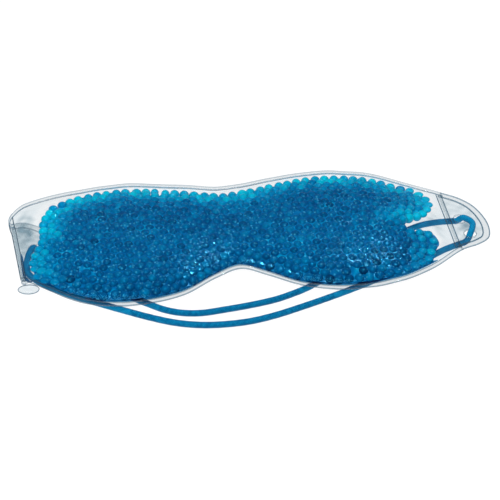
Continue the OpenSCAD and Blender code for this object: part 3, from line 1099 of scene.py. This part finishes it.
def make_body():
    """The deep gel between the two outer layers of beads."""
    rim = even(outline, 1.2)
    tangent = np.gradient(np.vstack([rim[-1:], rim, rim[:1]]), axis=0)[1:-1]
    tangent /= np.linalg.norm(tangent, axis=1)[:, None]
    inset = mix(-2.0, 0.7, smooth((across_of(*rim.T) - 0.3) / 0.25))
    rim = rim + inset[:, None] * np.stack([tangent[:, 1], -tangent[:, 0]], axis=1)
    flat, triangles = fill_region(rim, (), 1.4)
    x, y = flat.T
    gap = np.linalg.norm(flat[:, None] - rim[None], axis=2).min(axis=1)
    front, back = front_z(x, y), back_z(x, y) + FILM_T
    middle = (front + back) / 2
    deep = smooth(gap / 4)
    cover = mix(1.4, 1.0, smooth((gap - 3.5) / 7))
    top = np.maximum(mix(middle + 0.1, front - cover, deep), middle + 0.1)
    base = np.minimum(mix(middle, back + 1.2, deep), middle)
    # Painted light: the gel is lightened where it thins near its edge, away from the cheek rim
    thin = 0.55 * np.exp(-((gap / 5) ** 2)) * smooth((across_of(x, y) - 0.15) / 0.4)
    body = Shell()
    body.add(np.column_stack([flat, top]), triangles, thin)
    body.add(np.column_stack([flat, base]), [f[::-1] for f in triangles], thin)
    return body


def make_liquid():
    """Tinted water of the beads, held by its own skin in the corner under the cheek rim."""
    x = np.linspace(-62, 80, 250)
    s = np.linspace(0, 1, 14)
    width = 3.2 * np.minimum(smooth((x + 63) / 16), smooth((81 - x) / 9)) + 0.2
    y = low_y(x)[:, None] + 0.1 + width[:, None] * s[None, :]
    x = x[:, None] + 0 * y
    back = back_z(x, y) + FILM_T + 0.12
    top = np.maximum(mix(back, front_z(x, y), 0.5), back + 0.02)
    wedge = Shell()
    wedge.grid(np.stack([x, y, top], axis=-1))
    wedge.grid(np.stack([x, y, back], axis=-1)[:, ::-1])
    return wedge


def make_crease_liquid():
    """A line of the same liquid lying along the crease, with a short hook at its cheek end."""
    route = [
        [-85.5, -10, 5.3], [-85.8, -17, 5.2], [-85.9, -24, 5.1], [-84.5, -27.5, 5], [-83, -27.3, 5]
    ]
    line = spline(route, 0.5)
    from_end = np.minimum(np.arange(len(line)), np.arange(len(line))[::-1])
    taper = np.sqrt(np.clip(from_end / 5, 0.08, 1))
    streak = Shell()
    points, _, _ = tube_points(line, 12, lambda along, around: 0.55 * taper[:, None] + 0 * around)
    streak.grid(points.reshape(len(line), 12, 3), closed=True)
    return streak


def make_corner():
    """The pinched cheek end of the fold, which stands out as a small clear lobe."""
    unit, faces = ball(4)
    lobe = Shell()
    lobe.add(unit * LOBE_SIZE + LOBE_MIDDLE, faces)
    a = np.linspace(0, 2 * math.pi, 41)
    line = np.stack([np.cos(a), np.sin(a), 0 * a], axis=1) * LOBE_SIZE + LOBE_MIDDLE
    lip = Shell()
    lip.ridge(line, 0.16)
    # Painted shade: the lip's ridge is drawn lighter than a full weld ridge
    lip.edge = [0.45 * e for e in lip.edge]
    return lobe, lip


outline = fill_outline()
rim_beads, heap = pack_beads(outline, FRONT_SPACING, 7)
front_spots = np.vstack([layer_spots(rim_beads, 1, 1), layer_spots(heap, 1, 2)])
rim_back, heap_back = pack_beads(outline, BACK_SPACING, 19)
back_spots = np.vstack([layer_spots(rim_back, -1, 3), layer_spots(heap_back, -1, 4)])

clear_film = film_material()
weld_film = weld_material()
bead_gel = bead_material()
deep_gel = body_material()
liquid = liquid_material()

fillings = []
cut = len(front_spots) // 2
for k, spots in enumerate((front_spots[:cut], front_spots[cut:])):
    fillings.append(make_beads(f"front_beads_{k + 1}", spots, 2, 40 + k, bead_gel))
fillings.append(make_beads("back_beads", back_spots, 2, 50, bead_gel))
body = make_body().make("deep_gel", deep_gel, "gel_beads")
fillings.append(body)
fillings.append(make_liquid().make("corner_liquid", liquid, "gel_beads"))
fillings.append(make_crease_liquid().make("crease_liquid", liquid, "gel_beads"))
for piece in fillings:
    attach(piece, "root")
    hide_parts("bead_fill")

front_shell, back_shell = make_pouch_films(front_spots)
front_film = front_shell.make("pouch_front_film", clear_film, "clear_film")
back_film = back_shell.make("pouch_back_film", clear_film, "clear_film")
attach(front_film, "root")
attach(back_film, "root")
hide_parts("front_film")
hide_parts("back_film")

for shell, name in zip(make_rims(), ("upper_rim_weld", "lower_rim_weld", "right_cross_weld")):
    piece = shell.make(f"{name}_seam", weld_film, "welded_film")
    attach(piece, "root")
    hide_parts(name)

films, rim = make_tab(91.5, RIGHT_Z, 0.0)
right_films = films.make("right_tab_films", clear_film, "clear_film")
right_rim = rim.make("right_tab_rim", weld_film, "welded_film")
for piece in (right_films, right_rim):
    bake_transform(piece)
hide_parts("right_tab_front_film", "right_tab_back_film")
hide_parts("right_tab_rim_weld")

films, rim = make_tab(CREASE_X - LEFT_SHIFT, TAB_Z, LEFT_SHIFT, ridge_shading=0.35)
left_films = films.make("left_tab_films", clear_film, "clear_film")
left_rim = rim.make("left_tab_rim", weld_film, "welded_film")
fold_film, fold_welds = make_fold()
fold_sheet = fold_film.make("left_fold_film", clear_film, "clear_film")
fold_rim = fold_welds.make("left_fold_welds", weld_film, "welded_film")
lobe, lip = make_corner()
corner = lobe.make("left_corner_lobe", clear_film, "clear_film")
corner_lip = lip.make("left_corner_lip", weld_film, "welded_film")
for piece in (left_films, left_rim, corner, corner_lip):
    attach(piece, "left_tab")
for piece in (fold_sheet, fold_rim):
    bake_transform(piece)
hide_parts("left_tab_front_film", "left_tab_back_film")
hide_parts("left_tab_rim_weld")
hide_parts("left_cross_weld")

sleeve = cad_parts["cord_join"]
sleeve.data.materials.clear()
sleeve.data.materials.append(sleeve_material())
